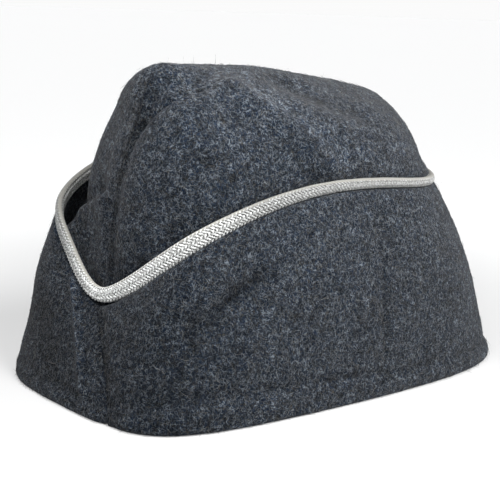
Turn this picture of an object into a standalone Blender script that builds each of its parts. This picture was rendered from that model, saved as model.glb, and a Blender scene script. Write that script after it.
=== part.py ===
# Side cap of wool cloth: a crown of two soft side panels, a turned-up band of two halves
# round it, and a braided piping along the band's upper edge.
#
# Metres, +Z up. The front of the cap points to -Y and the wearer's left is +X. The origin is
# in the middle of the rim, on the surface that the cap rests on.
#
# Places round the cap are given as a turn: 0 at the centre front, 1 at the centre rear, along
# the wearer's left side. The right side is its mirror image, apart from folds and dents.

import bpy
import bmesh
import math
import numpy as np

# Rim, where the turned-up band is folded
RIM_LENGTH = 0.194
RIM_WIDTH = 0.158
RIM_FOLD = 0.0016

# Turned-up band, two layers of wool
BAND_WALL = 0.003
BAND_HEIGHT = 0.0785
FRONT_LEAN = 0.037
SIDE_LEAN = 0.015
EDGE_CURL = 0.0035
FRONT_SEAM_DRIFT = 0.028

# Hem that joins the band to the crown inside the rim
HEM_HEIGHT = 0.003
HEM_DEPTH = 0.0027

# Crown, one layer of wool, its ridge placed by shares of the rim's length
CROWN_WALL = 0.002
CROWN_HEIGHT = 0.1245
CROWN_REAR_HEIGHT = 0.1085
RIDGE_LENGTH_SHARE = 0.634
RIDGE_SETBACK_SHARE = 0.2475
RIDGE_BOW = 0.003
CROWN_SLACK = 0.006
CROWN_CORNER = 0.85
FOLD_DEPTH = 0.006

# Piping, a flattened braided tube
PIPING_HEIGHT = 0.0054
PIPING_THICKNESS = 0.0034

# Clearances
SEAM_GAP = 0.0003
LAYER_GAP = 0.0006
PIPING_GAP = 0.0003

# Fineness
COLUMNS = 30
BAND_ROWS = 6
DOME_ROWS = 15
PIPING_SIDES = 10
FRONT_CROWDING = 1.25
TURN_STEP_SHARE = 0.002
SHARP_ANGLE = 50

# Share of the band's height where its curl begins, and of its wall that is rounded at the edge
CURL_START_SHARE = 0.7
EDGE_ROUNDING_SHARE = 0.25

# Part of a turn beside each seam over which folds die away
SEAM_CALM_SHARE = 0.06

# Shares of the crown's rise over which its folds die away at the band and at the ridge
BAND_CALM_SHARE = 0.1
RIDGE_CALM_SHARE = 0.12

# Outline of the rim and the lean of the band above it, in eighths of a turn
# across and along are shares of half the rim's width and half its length,
# lean_in is a share of SIDE_LEAN and lean_back one of FRONT_LEAN, at the height of BAND_HEIGHT
OUTLINE_SHARES = (
    # turn, across, along, lean_in, lean_back
    (0.000, 0.00, -1.00, 0.00, 1.00),
    (0.125, 0.38, -0.98, 0.35, 0.86),
    (0.250, 0.64, -0.84, 0.61, 0.57),
    (0.375, 0.82, -0.44, 0.76, 0.24),
    (0.500, 0.96, 0.12, 0.87, -0.15),
    (0.625, 1.00, 0.61, 0.99, -0.54),
    (0.750, 0.83, 0.89, 1.00, -0.65),
    (0.875, 0.46, 0.98, 0.67, -0.43),
    (1.000, 0.00, 1.00, 0.00, -0.26),
)

# Upper edge of the band, low in the middle of the front, as shares of BAND_HEIGHT, how far it
# curls inwards, as a share of EDGE_CURL, and how much of the piping's height stands up there
EDGE_SHARES = (
    # turn, height, curl, piping
    (0.00, 0.46, 0.00, 1.00),
    (0.06, 0.53, 0.00, 1.00),
    (0.12, 0.645, 0.00, 1.00),
    (0.20, 0.76, 0.05, 1.00),
    (0.30, 0.885, 0.25, 0.95),
    (0.42, 1.00, 0.55, 0.80),
    (0.60, 0.98, 0.90, 0.65),
    (0.80, 0.965, 1.00, 0.62),
    (1.00, 0.96, 1.00, 0.62),
)

# Crown where it leaves the band: how far it stands back from the band's edge on either side,
# as a share of CROWN_SLACK, and how far it is drawn in from a round arc, 0, to a slope, 1
CROWN_SHARES = (
    # turn, slack_left, slack_right, draw
    (0.00, 0.10, 0.10, 0.30),
    (0.08, 0.22, 0.25, 0.23),
    (0.15, 0.30, 0.40, 0.18),
    (0.23, 0.25, 1.20, 0.13),
    (0.32, 0.20, 1.10, 0.10),
    (0.45, 0.12, 0.35, 0.11),
    (0.70, 0.05, 0.05, 0.17),
    (1.00, 0.10, 0.10, 0.25),
)

# Folds and dents, each along a line from one place to another: left and right are the widths
# over which it fades on either side of its line, seen along the line with the outside upwards,
# and depth is a share of FOLD_DEPTH, outwards where it is positive
# On the crown rise is 0 where it leaves the band and 1 at the ridge
CROWN_FOLD_SHARES = {
    "left": (
        # from turn, from rise, to turn, to rise, left, right, depth
        (0.03, 0.52, 0.28, 0.78, 0.150, 0.050, -0.32),
        (0.37, 1.00, 0.48, 0.15, 0.090, 0.060, 0.34),
        (0.46, 0.66, 0.64, 0.64, 0.080, 0.080, -0.28),
    ),
    "right": (
        # from turn, from rise, to turn, to rise, left, right, depth
        (0.10, 0.00, 0.15, 0.48, 0.120, 0.120, -0.62),
        (0.24, 0.00, 0.28, 0.35, 0.120, 0.120, -0.20),
    ),
}

# On the band rise is 0 at the rim and 1 at its upper edge
BAND_FOLD_SHARES = {
    "left": (
        # from turn, from rise, to turn, to rise, left, right, depth
        (0.22, 0.55, 0.36, 0.80, 0.070, 0.070, -0.30),
        (0.60, 0.50, 0.75, 0.55, 0.220, 0.220, 0.32),
    ),
    "right": (
        # from turn, from rise, to turn, to rise, left, right, depth
        (0.20, 0.68, 0.30, 0.70, 0.180, 0.180, 0.50),
        (0.20, 1.00, 0.38, 1.00, 0.170, 0.170, 0.32),
        (0.26, 0.00, 0.34, 0.00, 0.120, 0.120, -0.30),
        (0.60, 0.50, 0.75, 0.55, 0.220, 0.220, 0.32),
    ),
}

# Colours, with roughness and metallic
WOOL_COLOUR = ((0.058, 0.066, 0.076, 1.0), 0.95, 0.0)
PIPING_COLOUR = ((0.56, 0.55, 0.52, 1.0), 0.45, 0.35)


def spline(table, column, place, ends=("flat", "flat")):
    """Value of a table's column at a place along its first column, on a smooth curve."""
    xs = np.array([row[0] for row in table], float)
    ys = np.array([row[column] for row in table], float)
    steps = np.diff(xs)
    slopes = np.diff(ys) / steps
    count = len(xs)
    matrix = np.zeros((count, count))
    right = np.zeros(count)
    for i in range(1, count - 1):
        matrix[i, i - 1:i + 2] = steps[i - 1], 2 * (steps[i - 1] + steps[i]), steps[i]
        right[i] = 6 * (slopes[i] - slopes[i - 1])
    if ends[0] == "flat":
        matrix[0, :2] = 2, 1
        right[0] = 6 * slopes[0] / steps[0]
    else:
        matrix[0, 0] = 1
    if ends[1] == "flat":
        matrix[-1, -2:] = 1, 2
        right[-1] = -6 * slopes[-1] / steps[-1]
    else:
        matrix[-1, -1] = 1
    bends = np.linalg.solve(matrix, right)
    place = np.asarray(place, float)
    i = np.clip(np.searchsorted(xs, place, side="right") - 1, 0, count - 2)
    h = steps[i]
    a = (xs[i + 1] - place) / h
    b = (place - xs[i]) / h
    curve = (a ** 3 - a) * bends[i] + (b ** 3 - b) * bends[i + 1]
    return a * ys[i] + b * ys[i + 1] + curve * h ** 2 / 6


def smooth_step(value):
    """0 below 0, 1 above 1 and a smooth rise between."""
    value = np.clip(value, 0, 1)
    return value * value * (3 - 2 * value)


def fold_lift(folds, turn, rise):
    """How far the folds lift a surface at a place, outwards, with none along the seams."""
    lift = np.zeros(np.broadcast(turn, rise).shape)
    for turn_a, rise_a, turn_b, rise_b, left, right, depth in folds:
        line = np.array([turn_b - turn_a, rise_b - rise_a])
        share = ((turn - turn_a) * line[0] + (rise - rise_a) * line[1]) / (line @ line)
        share = np.clip(share, 0, 1)
        off_turn = turn - turn_a - share * line[0]
        off_rise = rise - rise_a - share * line[1]
        spread = np.where(line[0] * off_rise > line[1] * off_turn, left, right)
        lift += depth * FOLD_DEPTH * np.exp(-(off_turn ** 2 + off_rise ** 2) / spread ** 2)
    return lift * smooth_step(np.minimum(turn, 1 - turn) / SEAM_CALM_SHARE)


def band_face(turn, height):
    """Outer face of the band before its curl and folds, for turns of either sign."""
    place = np.abs(turn)
    share = height / BAND_HEIGHT
    across = spline(OUTLINE_SHARES, 1, place, ("free", "free")) * RIM_WIDTH / 2
    along = spline(OUTLINE_SHARES, 2, place) * RIM_LENGTH / 2
    lean_in = spline(OUTLINE_SHARES, 3, place, ("free", "free")) * SIDE_LEAN
    lean_back = spline(OUTLINE_SHARES, 4, place) * FRONT_LEAN
    x = np.where(turn < 0, -1, 1) * (across - lean_in * share)
    y = along + lean_back * share
    return np.stack([x, y, height + 0 * turn], -1)


def inward(turn, height):
    """Level direction from the band's face towards the inside of the cap."""
    along = band_face(turn + TURN_STEP_SHARE, height) - band_face(turn - TURN_STEP_SHARE, height)
    normal = np.stack([-along[..., 1], along[..., 0], 0 * turn], -1)
    return normal / np.linalg.norm(normal, axis=-1, keepdims=True)


def edge_height(turn):
    """Height of the band's upper edge above the rim."""
    return spline(EDGE_SHARES, 1, np.abs(turn)) * BAND_HEIGHT


def band_point(turn, height, depth):
    """A point of the band at a depth inside its outer face, with its curl and its folds."""
    rise = height / edge_height(turn)
    near_edge = np.maximum(rise - CURL_START_SHARE, 0) / (1 - CURL_START_SHARE)
    curl = spline(EDGE_SHARES, 2, np.abs(turn)) * EDGE_CURL * near_edge ** 2
    left = fold_lift(BAND_FOLD_SHARES["left"], np.abs(turn), rise)
    right = fold_lift(BAND_FOLD_SHARES["right"], np.abs(turn), rise)
    depth = depth + curl - np.where(turn < 0, right, left)
    return band_face(turn, height) + inward(turn, height) * depth[..., None]


def front_seam_turn(height):
    """Turn of the band's front seam, which drifts to the wearer's left on its way down."""
    whole_turn = np.linalg.norm(band_face(TURN_STEP_SHARE, 0.0) - band_face(0.0, 0.0)) / TURN_STEP_SHARE
    return FRONT_SEAM_DRIFT / whole_turn * np.clip(1 - height / edge_height(0), 0, 1)


def columns(count):
    """Shares from the front seam to the rear seam, closer together near the front."""
    return np.linspace(0, 1, count + 1) ** FRONT_CROWDING


def close_grid(grid, name):
    """Closed body from a grid of points whose rows run round and whose columns end in caps."""
    rows, cols = grid.shape[:2]
    mesh = bmesh.new()
    verts = [[mesh.verts.new(grid[r, c]) for c in range(cols)] for r in range(rows)]
    for r in range(rows):
        below = verts[r]
        above = verts[(r + 1) % rows]
        for c in range(cols - 1):
            mesh.faces.new((below[c], below[c + 1], above[c + 1], above[c]))
    mesh.faces.new([verts[r][0] for r in range(rows)])
    mesh.faces.new([verts[r][-1] for r in reversed(range(rows))])
    return finish_mesh(mesh, name)


def finish_mesh(mesh, name):
    """Triangles that face outwards, in a new object of the scene."""
    bmesh.ops.recalc_face_normals(mesh, faces=mesh.faces[:])
    bmesh.ops.triangulate(mesh, faces=mesh.faces[:])
    data = bpy.data.meshes.new(name)
    mesh.to_mesh(data)
    mesh.free()
    piece = bpy.data.objects.new(name, data)
    bpy.context.scene.collection.objects.link(piece)
    data.shade_smooth()
    data.set_sharp_from_angle(angle=math.radians(SHARP_ANGLE))
    return piece


def band_profile():
    """Section of the band as depth inside its face, height above the rim, share of the edge."""
    corner = RIM_FOLD * (1 - math.cos(math.radians(45)))
    rim = [(RIM_FOLD, 0.0, 0.0), (corner, corner, 0.0), (0.0, RIM_FOLD, 0.0)]
    outside = [(0.0, 0.0, row / BAND_ROWS) for row in range(1, BAND_ROWS)]
    rounding = BAND_WALL * EDGE_ROUNDING_SHARE
    top = [
        (0.0, -rounding, 1.0),
        (rounding, 0.0, 1.0),
        (BAND_WALL - rounding, 0.0, 1.0),
        (BAND_WALL, -rounding, 1.0),
    ]
    inside = [(BAND_WALL, 0.0, row / BAND_ROWS) for row in range(BAND_ROWS - 1, 0, -1)]
    hem = [
        (BAND_WALL, HEM_HEIGHT, 0.0),
        (BAND_WALL + HEM_DEPTH, HEM_HEIGHT, 0.0),
        (BAND_WALL + HEM_DEPTH, 0.0, 0.0),
    ]
    return rim + outside + top + inside + hem


def make_band(side, name):
    """One half of the turned-up band, from the front seam to the rear seam."""
    sign = 1 if side == "left" else -1
    shares = columns(COLUMNS)
    grid = []
    for depth, rise, edge_share in band_profile():
        start = front_seam_turn(rise + edge_share * edge_height(0)) * sign
        turn = start + (1 - start) * shares
        height = rise + edge_share * edge_height(turn)
        grid.append(band_point(sign * turn, height, depth + 0 * turn))
    grid = np.array(grid)
    grid[..., 0] += sign * SEAM_GAP / 2
    return close_grid(grid, name)


def surface_normals(grid):
    """Unit normals of a grid of points, in the middle plane along its seams and level at its foot."""
    up = np.gradient(grid, axis=0)
    round_ = np.gradient(grid, axis=1)
    normal = np.cross(round_, up)
    normal /= np.linalg.norm(normal, axis=-1, keepdims=True)
    front = np.stack([0 * up[:, 0, 2], -up[:, 0, 2], up[:, 0, 1]], -1)
    rear = np.stack([0 * up[:, -1, 2], up[:, -1, 2], -up[:, -1, 1]], -1)
    ridge = np.stack([0 * round_[-1, :, 2], -round_[-1, :, 2], round_[-1, :, 1]], -1)
    for edge in (front, rear, ridge):
        edge /= np.linalg.norm(edge, axis=-1, keepdims=True)
    ridge[0] += front[-1]
    ridge[-1] += rear[-1]
    normal[:, 0] = front
    normal[:, -1] = rear
    normal[-1] = ridge
    normal[0, :, 2] = 0
    return normal / np.linalg.norm(normal, axis=-1, keepdims=True)


def crown_surface(side):
    """Outer face of one crown panel as a grid, from the hem up to the ridge, for x above 0."""
    mirror = np.array([1 if side == "left" else -1, 1, 1])
    turn = columns(COLUMNS)
    depth = BAND_WALL + LAYER_GAP
    slack = spline(CROWN_SHARES, 1 if side == "left" else 2, turn) * CROWN_SLACK
    draw = spline(CROWN_SHARES, 3, turn)[:, None]
    foot_height = HEM_HEIGHT + LAYER_GAP / 2
    rows = []
    for row in range(BAND_ROWS + 1):
        height = np.maximum(edge_height(turn) * row / BAND_ROWS, foot_height)
        stand_back = depth + slack * row / BAND_ROWS
        rows.append(band_point(turn * mirror[0], height, stand_back) * mirror)
    leaving = rows.pop()
    along = (1 - np.cos(math.pi * turn)) / 2
    ridge_y = RIM_LENGTH * (RIDGE_SETBACK_SHARE + RIDGE_LENGTH_SHARE * along - 1 / 2)
    ridge_z = CROWN_HEIGHT + (CROWN_REAR_HEIGHT - CROWN_HEIGHT) * along
    ridge_z += RIDGE_BOW * 4 * along * (1 - along)
    ridge = np.stack([0 * turn, ridge_y, ridge_z], -1)
    rises = np.linspace(0, 1, DOME_ROWS + 1)
    for rise in rises:
        swing = math.pi / 2 * rise
        up = math.sin(swing) ** CROWN_CORNER
        arc = 1 - max(math.cos(swing), 0) ** CROWN_CORNER
        level = (1 - draw) * arc + draw * up
        closing = np.concatenate([level, level, up + 0 * level], 1)
        rows.append(leaving + (ridge - leaving) * closing)
    rows[-1] = ridge
    grid = np.array(rows)
    rise = np.concatenate([np.zeros(BAND_ROWS), rises])[:, None]
    near_ends = smooth_step(rise / BAND_CALM_SHARE) * smooth_step((1 - rise) / RIDGE_CALM_SHARE)
    lift = fold_lift(CROWN_FOLD_SHARES[side], turn[None, :], rise) * near_ends
    return grid + surface_normals(grid) * lift[..., None]


def make_crown(side, name):
    """One crown panel: its outer face, the inner face a wall's thickness inside, and edges."""
    sign = 1 if side == "left" else -1
    outer = crown_surface(side)
    inner = outer - surface_normals(outer) * CROWN_WALL
    rows = np.concatenate([outer, inner[::-1]])
    rows[..., 0] = sign * (rows[..., 0] + SEAM_GAP / 2)
    return close_grid(rows, name)


def make_piping(name):
    """The piping, a closed loop of flattened rings that stands on the band's upper edge."""
    side = columns(COLUMNS)
    turn = np.concatenate([-side[:0:-1], side[:-1]])
    tall = spline(EDGE_SHARES, 3, np.abs(turn))[:, None] * PIPING_HEIGHT / 2

    def edge(at):
        return band_point(at, edge_height(at), BAND_WALL / 2 + 0 * at)

    tangent = edge(turn + TURN_STEP_SHARE) - edge(turn - TURN_STEP_SHARE)
    tangent /= np.linalg.norm(tangent, axis=-1, keepdims=True)
    outwards = -inward(turn, edge_height(turn))
    upwards = np.cross(outwards, tangent)
    upwards /= np.linalg.norm(upwards, axis=-1, keepdims=True)
    outwards = np.cross(tangent, upwards)
    middle = edge(turn) + upwards * (PIPING_GAP + tall)
    mesh = bmesh.new()
    rings = []
    for angle in np.arange(PIPING_SIDES) * 2 * math.pi / PIPING_SIDES:
        across = outwards * PIPING_THICKNESS / 2 * math.cos(angle)
        place = middle + across + upwards * tall * math.sin(angle)
        rings.append([mesh.verts.new(point) for point in place])
    for here, after in zip(rings, rings[1:] + rings[:1]):
        for i in range(len(turn)):
            ahead = (i + 1) % len(turn)
            mesh.faces.new((here[i], here[ahead], after[ahead], after[i]))
    return finish_mesh(mesh, name)


def make_material(name, colour, roughness, metallic):
    """A named material with one colour and gloss."""
    material = bpy.data.materials.new(name)
    material.use_nodes = True
    shader = material.node_tree.nodes["Principled BSDF"]
    shader.inputs["Base Color"].default_value = colour
    shader.inputs["Roughness"].default_value = roughness
    shader.inputs["Metallic"].default_value = metallic
    return material


def main():
    for old in list(bpy.data.objects):
        bpy.data.objects.remove(old)
    wool = make_material("wool", *WOOL_COLOUR)
    silver = make_material("piping_silver", *PIPING_COLOUR)
    pieces = []
    for side in ("left", "right"):
        pieces.append((make_crown(side, "crown_" + side), wool))
        pieces.append((make_band(side, "turn_up_" + side), wool))
    pieces.append((make_piping("piping"), silver))
    for piece, material in pieces:
        piece.data.materials.append(material)
        print(piece.name, "has", len(piece.data.polygons), "triangles")


main()
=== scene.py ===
# %% [markdown]
# # A side cap of felted wool
#
# The cap has five pieces: two soft crown panels, a turned-up band in two halves, and a braided
# piping along the band's upper edge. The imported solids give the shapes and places. Here each
# one gets the surface of the real cloth: pillowy seams, small folds, felted wool and fuzz, and
# a piping that is really braided.
#
# Everything is in metres. The front of the cap points to -Y and the wearer's left is +X.

# %% Load the frame
import bpy
import bmesh
import math
import numpy as np
from mathutils import Matrix, Vector, noise
from mathutils.bvhtree import BVHTree


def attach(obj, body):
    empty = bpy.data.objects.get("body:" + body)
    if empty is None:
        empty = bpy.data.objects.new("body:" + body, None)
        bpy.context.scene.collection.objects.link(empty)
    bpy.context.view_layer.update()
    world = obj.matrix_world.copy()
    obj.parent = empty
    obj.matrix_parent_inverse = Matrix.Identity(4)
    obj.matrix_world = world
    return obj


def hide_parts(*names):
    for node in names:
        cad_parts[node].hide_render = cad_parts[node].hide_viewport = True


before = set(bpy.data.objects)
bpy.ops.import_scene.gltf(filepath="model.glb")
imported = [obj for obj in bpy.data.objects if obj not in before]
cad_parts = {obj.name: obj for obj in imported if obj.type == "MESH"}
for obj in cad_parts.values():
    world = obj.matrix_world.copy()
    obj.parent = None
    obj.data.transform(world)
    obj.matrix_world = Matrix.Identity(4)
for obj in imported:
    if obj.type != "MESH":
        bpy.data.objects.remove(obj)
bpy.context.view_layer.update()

MM = 0.001

# %% [markdown]
# ## Camera
#
# The camera stands in front of the wearer's left, a little above the cap, and is turned by a
# small roll, so that the rim runs the way it does in a picture taken by hand. Turning the
# camera itself is simpler than turning the cap, which has to stand level on its rim.

# %% Camera
VIEW_TURN = 44.306
VIEW_RISE = 14.034
VIEW_ROLL = 1.73
VIEW_DISTANCE = 0.450
VIEW_TARGET = Vector((-0.00176, 0.00318, 0.04374))
LENS = 76.0
SENSOR = 36.0


def direction(turn, rise):
    """Unit vector towards a turn round the cap from its front and a rise above the level."""
    turn, rise = math.radians(turn), math.radians(rise)
    level = math.cos(rise)
    return Vector((math.sin(turn) * level, -math.cos(turn) * level, math.sin(rise)))


def new_object(name, data):
    """An object at the origin, in the scene."""
    thing = bpy.data.objects.new(name, data)
    bpy.context.scene.collection.objects.link(thing)
    return thing


camera = new_object("camera", bpy.data.cameras.new("camera"))
camera.data.lens = LENS
camera.data.sensor_width = SENSOR
camera.data.clip_start = 0.02
camera.data.clip_end = 50
back = direction(VIEW_TURN, VIEW_RISE)
camera.matrix_world = (
    Matrix.Translation(VIEW_TARGET + back * VIEW_DISTANCE)
    @ (-back).to_track_quat("-Z", "Y").to_matrix().to_4x4()
    @ Matrix.Rotation(math.radians(VIEW_ROLL), 4, "Z")
)
bpy.context.scene.camera = camera
print("camera at", [round(value, 3) for value in camera.matrix_world.translation])

# %% [markdown]
# ## Light
#
# Felted wool has no gloss, so what shows its folds is the change from lit to shaded cloth. A
# low sun, as wide as a studio's soft box, lights the rear of the cap. One soft lamp stands at
# the cap's left side, and a small one hangs close in front: because it is so near, the crown
# gets more of it than the rim, and the cloth darkens downwards. A weak sun from the other side
# draws the far edge. The surroundings are as bright as the floor near the horizon and darker
# above, which keeps the shaded side of the cap dark.

# %% Lights
CAP_MIDDLE = Vector((0, 0, 0.08))
SUN_WIDTH = math.radians(34)


def new_light(name, kind, turn, rise, strength):
    """A light that shines on the cap from a turn and a rise."""
    light = new_object(name, bpy.data.lights.new(name, kind))
    light.data.energy = strength
    light.rotation_euler = (-direction(turn, rise)).to_track_quat("-Z", "Y").to_euler()
    return light


def new_sun(name, turn, rise, strength):
    """A sun as wide as a large soft box."""
    new_light(name, "SUN", turn, rise, strength).data.angle = SUN_WIDTH


def new_lamp(name, turn, rise, distance, size, strength):
    """A square lamp at a distance from the middle of the cap."""
    lamp = new_light(name, "AREA", turn, rise, strength)
    lamp.data.size = size
    lamp.location = CAP_MIDDLE + direction(turn, rise) * distance


new_sun("rear_light", 146, 14, 6.0)
new_sun("edge_light", -98, 20, 1.1)
new_lamp("side_light", 78, 37, 0.30, 0.14, 1.45)
new_lamp("front_light", 17, 48, 0.25, 0.13, 0.98)
print("two suns and two lamps")

# %% Surroundings
SKY = ((0.06, (0.965, 0.965, 0.965, 1)), (0.12, (0.20, 0.21, 0.22, 1)))   # height and colour


def colour_ramp(tree, colours):
    """A ramp node from pairs of a position and a colour."""
    ramp = tree.nodes.new("ShaderNodeValToRGB")
    stops = ramp.color_ramp.elements
    stops[0].position, stops[0].color = colours[0]
    stops[1].position, stops[1].color = colours[-1]
    for position, colour in colours[1:-1]:
        stops.new(position).color = colour
    return ramp


world = bpy.data.worlds.new("studio")
bpy.context.scene.world = world
world.use_nodes = True
sky = world.node_tree
coordinates = sky.nodes.new("ShaderNodeTexCoord")
split = sky.nodes.new("ShaderNodeSeparateXYZ")
ramp = colour_ramp(sky, SKY)
sky.links.new(coordinates.outputs["Generated"], split.inputs[0])
sky.links.new(split.outputs["Z"], ramp.inputs["Fac"])
sky.links.new(ramp.outputs["Color"], sky.nodes["Background"].inputs["Color"])
bpy.context.scene.view_settings.view_transform = "Standard"
print("sky changes between heights", SKY[0][0], "and", SKY[1][0])

# %% [markdown]
# ## Floor
#
# The floor is one wide disc, far larger than the view, in a pale and dull finish. Like a light
# table it glows a little away from the cap, so that its far part stays as white as the part
# under the lights. It belongs to the studio and not to the cap.

# %% Floor
FLOOR_RADIUS = 6.0
GLOW = {"From Min": 0.06, "From Max": 0.34, "To Min": 0.34, "To Max": 0.72}   # distance, strength


def new_piece(name, mesh):
    """An object at the origin from a bmesh, which is used up."""
    data = bpy.data.meshes.new(name)
    mesh.to_mesh(data)
    mesh.free()
    data.shade_smooth()
    return new_object(name, data)


def new_material(name, values):
    """A material, its node tree, and its shader with some of its values set."""
    material = bpy.data.materials.new(name)
    material.use_nodes = True
    shader = material.node_tree.nodes["Principled BSDF"]
    for label, value in values.items():
        shader.inputs[label].default_value = value
    return material, material.node_tree, shader


disc = bmesh.new()
bmesh.ops.create_circle(disc, cap_ends=True, segments=96, radius=FLOOR_RADIUS)
floor = new_piece("floor", disc)
paint, tree, shader = new_material("floor_paint", {
    "Base Color": (0.31, 0.31, 0.31, 1), "Emission Color": (1, 1, 1, 1),
    "Roughness": 0.9, "Specular IOR Level": 0.0,
})
reach = tree.nodes.new("ShaderNodeVectorMath")
reach.operation = "LENGTH"
glow = tree.nodes.new("ShaderNodeMapRange")
glow.interpolation_type = "SMOOTHSTEP"
for label, value in GLOW.items():
    glow.inputs[label].default_value = value
tree.links.new(tree.nodes.new("ShaderNodeTexCoord").outputs["Object"], reach.inputs[0])
tree.links.new(reach.outputs["Value"], glow.inputs["Value"])
tree.links.new(glow.outputs["Result"], shader.inputs["Emission Strength"])
floor.data.materials.append(paint)
print("floor", floor.dimensions[0], "m across")

# %% [markdown]
# ## Cloth panels
#
# Each panel is cut from flat cloth and drawn over the head's shape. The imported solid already
# has that shape, but its flat facets would show. Its loose triangles are joined back into
# four-sided faces, loops are cut in close to the seams, and a subdivision surface rounds it
# all. The loops keep the rounding tight along the seams, where the two layers turn inwards.

# %% Rounding a solid
def joined_copy(node):
    """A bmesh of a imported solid, with its loose triangles joined into four-sided faces."""
    shell = bmesh.new()
    shell.from_mesh(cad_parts[node].data)
    bmesh.ops.remove_doubles(shell, verts=shell.verts[:], dist=1e-6)
    bmesh.ops.join_triangles(
        shell, faces=shell.faces[:],
        angle_face_threshold=math.radians(35), angle_shape_threshold=math.radians(50),
    )
    return shell


def cut_loops(shell, place, normal, offsets):
    """Cuts a loop of edges at each offset in millimetres from a plane."""
    normal = Vector(normal).normalized()
    for offset in offsets:
        bmesh.ops.bisect_plane(
            shell, geom=shell.verts[:] + shell.edges[:] + shell.faces[:],
            plane_co=Vector(place) * MM + normal * offset * MM, plane_no=normal,
        )


def rounded(name, shell, levels):
    """A piece from a bmesh, rounded by a subdivision surface that is then made real."""
    piece = new_piece(name, shell)
    surface = piece.modifiers.new("rounding", "SUBSURF")
    surface.levels = surface.render_levels = levels
    evaluated = piece.evaluated_get(bpy.context.evaluated_depsgraph_get())
    smooth = bpy.data.meshes.new_from_object(evaluated)
    piece.modifiers.clear()
    piece.data = smooth
    smooth.name = name
    smooth.shade_smooth()
    return piece


print("solids:", *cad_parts)

# %% Loops along the seams
PANELS = {"crown_left": 1, "crown_right": -1, "turn_up_left": 1, "turn_up_right": -1}
BAND_SEAM = ((0, -78, 36), (23.6, -95.8, 0))   # the band's front seam leans to the wearer's left
BAND_OUTWARDS = Vector((0, -1, 0.3))
SEAM_LOOPS = (0.7, 2.4)
LEVELS = 2
along_seam = Vector(BAND_SEAM[1]) - Vector(BAND_SEAM[0])
across_seam = along_seam.cross(BAND_OUTWARDS).normalized()
if across_seam.x < 0:
    across_seam = -across_seam
shells = {}
for node, side in PANELS.items():
    shell = joined_copy(node)
    if node.startswith("crown"):
        cut_loops(shell, (0, 0, 0), (side, 0, 0), SEAM_LOOPS)
    else:
        cut_loops(shell, BAND_SEAM[0], across_seam * side, SEAM_LOOPS)
    shells[node] = shell
    print(node, len(shell.faces), "faces before rounding")

# %% Round the panels
panels = {node: rounded(node + "_cloth", shell, LEVELS) for node, shell in shells.items()}
for node, piece in panels.items():
    print(piece.name, len(piece.data.polygons), "faces")

# %% [markdown]
# ## Seams and folds
#
# Cloth that is drawn over a form keeps soft dents, and along a seam both edges turn down into
# a groove. A cloth simulation would make folds of its own, in other places than the real
# ones, so these are moved one by one instead. Each fold follows a line of points on the cloth and
# fades over its own width on either side. Seam grooves fade with the distance to the panel on
# the other side of the seam. Each fold also leaves a value on the mesh that paints the wool paler
# or darker there: painted shade in the hollows and along the seams, painted highlight on ridges.

# %% Tools for moving cloth
def points_of(piece):
    """Places and normals of a piece's points."""
    count = len(piece.data.vertices)
    place = np.zeros(count * 3)
    normal = np.zeros(count * 3)
    piece.data.vertices.foreach_get("co", place)
    piece.data.vertices.foreach_get("normal", normal)
    return place.reshape(-1, 3), normal.reshape(-1, 3)


def put_points(mesh, place):
    """Moves a mesh's points to new places."""
    mesh.vertices.foreach_set("co", place.ravel())
    mesh.update()


def outwards(place):
    """Smooth direction out of the cap at each place."""
    away = place * (1.0, 0.55, 0.5)
    return away / np.linalg.norm(away, axis=1, keepdims=True)


print("points of a panel:", len(points_of(panels["crown_left"])[0]))

# %% Soft changes
def smooth_step(value):
    """0 below 0, 1 above 1 and a smooth rise between."""
    value = np.clip(value, 0, 1)
    return value * value * (3 - 2 * value)


def rise_between(value, start, end):
    """0 at one length in millimetres, 1 at another, and a smooth change between them."""
    return smooth_step((value / MM - start) / (end - start))


def fading(distance, width, power=2):
    """1 where a distance is 0, and near 0 beyond a width in millimetres."""
    return np.exp(-(distance / (width * MM)) ** power)


def blend(ends, share):
    """A value between two ends."""
    return ends[0] + (ends[1] - ends[0]) * share


def ripples(place, size, seed):
    """Soft random lift between -1 and 1 with waves of a size in millimetres."""
    scaled = place / (size * MM) + seed
    return np.array([noise.noise(Vector(spot)) for spot in scaled])


print("half way up:", rise_between(5 * MM, 0, 10))

# %% A fold along a line
def line_distance(place, away, line):
    """Distance of each place to a line of points, with its sign: left of the line is positive."""
    line = np.array(line, float) * MM
    best = np.full(len(place), 1e9)
    side = np.ones(len(place))
    for start, end in zip(line[:-1], line[1:]):
        run = end - start
        share = np.clip((place - start) @ run / (run @ run), 0, 1)
        off = place - start - share[:, None] * run
        distance = np.linalg.norm(off, axis=1)
        nearer = distance < best
        best[nearer] = distance[nearer]
        left = np.cross(away, run)
        side[nearer] = np.sign((off * left).sum(1))[nearer]
    return best, side


def fold(place, away, line, left, right, sharp):
    """1 on a line and 0 far from it: left and right are widths in millimetres, sharp is 0 to 1."""
    distance, side = line_distance(place, away, line)
    width = np.where(side > 0, left, right) * MM
    share = distance / width
    round_top = np.exp(-share ** 2)
    pointed = np.exp(-np.sqrt(share ** 2 + 0.01) * 1.6 + 0.16)   # also 1 on the line itself
    return (1 - sharp) * round_top + sharp * pointed


print("fold tools ready")

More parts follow.
